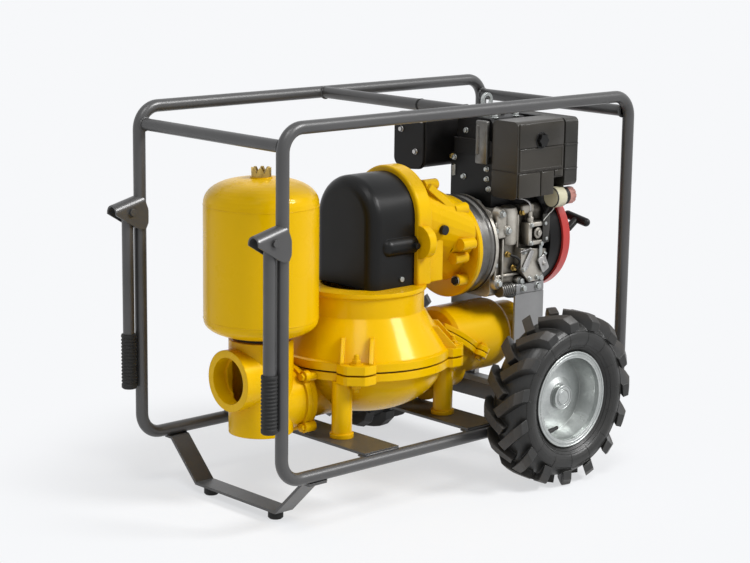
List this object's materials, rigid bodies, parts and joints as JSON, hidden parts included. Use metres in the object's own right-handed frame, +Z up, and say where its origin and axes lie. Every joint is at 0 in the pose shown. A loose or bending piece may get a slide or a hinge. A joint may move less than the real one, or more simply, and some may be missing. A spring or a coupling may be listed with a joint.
{
  "type": "diaphragm pump on a two-wheel trolley",
  "caption": "Engine-driven diaphragm sewage pump with geared crank, air vessel and flap valves in a tubular two-wheel trolley with folding handles.",
  "frame": {"origin": "middle of the ground plane under the whole part", "axes": "+X along the trolley from the handles towards the engine, +Y across to the far wheel, +Z up"},
  "size_m": [1.165, 0.758, 0.887],
  "materials": {
    "frame_paint": "dark grey satin paint",
    "pump_paint": "gloss yellow paint",
    "cover_paint": "satin black paint",
    "zinc": "zinc plated",
    "steel": "machined",
    "rubber": "matt",
    "tyre": "matt",
    "brass": "cast",
    "engine_alloy": "as cast",
    "engine_iron": "as cast",
    "engine_black": "matt black heat paint",
    "sheet_grey": "grey paint",
    "starter_red": "gloss red paint",
    "filter_plastic": "satin moulded",
    "tank_plastic": "satin moulded",
    "black_plastic": "satin moulded",
    "cap_plastic": "gloss moulded",
    "rope": "braided"
  },
  "bodies": {
    "chassis": {"near_hoop": "frame_paint", "far_hoop": "frame_paint", "cross_tubes": "frame_paint", "base_bars": "frame_paint", "foot_plate": "frame_paint", "rubber_feet": "rubber", "axle_beam": "frame_paint", "stub_axles": "frame_paint", "handle_brackets": "frame_paint", "handle_pivots": "frame_paint", "pump_bowl": "pump_paint", "pump_bell": "pump_paint", "flange_bolts": "pump_paint", "diaphragm": "rubber", "discharge_box": "pump_paint", "suction_box": "pump_paint", "valve_box_bolts": "pump_paint", "air_vessel": "pump_paint", "vessel_collar": "brass", "crank_cover": "cover_paint", "cover_screws": "zinc", "gearbox_housing": "pump_paint", "casing_plugs": "black_plastic", "shaft_bearings": "steel", "adapter_ring": "engine_alloy", "crankcase": "engine_alloy", "cylinder_barrel": "engine_iron", "rocker_cover": "engine_black", "fan_housing": "cover_paint", "recoil_cover": "starter_red", "muffler": "engine_black", "air_filter": "filter_plastic", "fuel_tank": "tank_plastic", "governor_cover": "engine_alloy", "engine_brackets": "sheet_grey", "lifting_eye": "zinc"},
    "near_wheel": {"near_tyre": "tyre", "near_rim": "zinc"},
    "far_wheel": {"far_tyre": "tyre", "far_rim": "zinc"},
    "near_carry_handle": {"near_handle": "frame_paint", "near_grip": "rubber"},
    "far_carry_handle": {"far_handle": "frame_paint", "far_grip": "rubber"},
    "engine_shaft": {"crankshaft": "steel", "flywheel": "engine_iron", "input_pinion": "steel"},
    "gear_shaft": {"countershaft": "steel"},
    "crank": {"eccentric_shaft": "steel", "output_gear": "steel"},
    "rod": {"connecting_rod": "steel", "diaphragm_plates": "steel"},
    "outlet_flap": {"discharge_flap": "rubber"},
    "inlet_flap": {"suction_flap": "rubber"},
    "starter_handle": {"recoil_grip": "black_plastic", "recoil_rope": "rope"},
    "starter_reel": {"recoil_reel": "black_plastic"},
    "lid_knob": {"filter_knob": "black_plastic"},
    "tank_cap": {"fuel_cap": "cap_plastic"},
    "throttle": {"speed_lever": "zinc"}
  },
  "joints": [
    {"name": "near_wheel_spin", "type": "hinge", "parent": "chassis", "child": "near_wheel", "pos_m": [0.2635, -0.323, 0.203], "axis": [0, 1, 0], "continuous": true},
    {"name": "far_wheel_spin", "type": "hinge", "parent": "chassis", "child": "far_wheel", "pos_m": [0.2635, 0.323, 0.203], "axis": [0, 1, 0], "continuous": true},
    {"name": "near_handle_fold", "type": "hinge", "parent": "chassis", "child": "near_carry_handle", "pos_m": [-0.5405, -0.245, 0.645], "axis": [0, 1, 0], "range_deg": [0, 78]},
    {"name": "far_handle_fold", "type": "hinge", "parent": "chassis", "child": "far_carry_handle", "pos_m": [-0.5405, 0.245, 0.645], "axis": [0, 1, 0], "range_deg": [0, 78]},
    {"name": "engine_spin", "type": "hinge", "parent": "chassis", "child": "engine_shaft", "pos_m": [0.2555, 0, 0.517], "axis": [1, 0, 0], "continuous": true},
    {"name": "gear_spin", "type": "hinge", "parent": "chassis", "child": "gear_shaft", "pos_m": [0.0935, -0.04781, 0.5625], "axis": [1, 0, 0], "continuous": true},
    {"name": "crank_spin", "type": "hinge", "parent": "chassis", "child": "crank", "pos_m": [0.0335, 0, 0.608], "axis": [1, 0, 0], "continuous": true},
    {"name": "rod_swing", "type": "hinge", "parent": "crank", "child": "rod", "pos_m": [-0.0615, 0, 0.63], "axis": [1, 0, 0], "continuous": true, "deforming": ["diaphragm"]},
    {"name": "outlet_flap_swing", "type": "hinge", "parent": "chassis", "child": "outlet_flap", "pos_m": [-0.2895, 0, 0.284], "axis": [0, 1, 0], "range_deg": [0, 55]},
    {"name": "inlet_flap_swing", "type": "hinge", "parent": "chassis", "child": "inlet_flap", "pos_m": [0.3285, 0, 0.342], "axis": [0, 1, 0], "range_deg": [0, 55]},
    {"name": "starter_pull", "type": "slide", "parent": "chassis", "child": "starter_handle", "axis": [0.829, 0, 0.5592], "range_m": [0, 0.6], "deforming": ["recoil_rope"]},
    {"name": "reel_spin", "type": "hinge", "parent": "chassis", "child": "starter_reel", "pos_m": [0.4915, 0, 0.517], "axis": [1, 0, 0], "range_deg": [0, 770]},
    {"name": "lid_knob_turn", "type": "hinge", "parent": "chassis", "child": "lid_knob", "pos_m": [0.3675, -0.15, 0.772], "axis": [0, 1, 0], "continuous": true},
    {"name": "tank_cap_turn", "type": "hinge", "parent": "chassis", "child": "tank_cap", "pos_m": [0.4785, -0.13, 0.627], "axis": [1, 0, 0], "range_deg": [0, 90]},
    {"name": "throttle_swing", "type": "hinge", "parent": "chassis", "child": "throttle", "pos_m": [0.4115, -0.116, 0.473], "axis": [0, 1, 0], "range_deg": [-20, 20]}
  ],
  "couplings": [
    {"joint": "gear_spin", "follows": "engine_spin", "ratio": -0.22222},
    {"joint": "crank_spin", "follows": "engine_spin", "ratio": 0.049383},
    {"joint": "rod_swing", "follows": "engine_spin", "ratio": -0.049383},
    {"joint": "reel_spin", "follows": "starter_pull", "rad_per_m": 22.222}
  ]
}
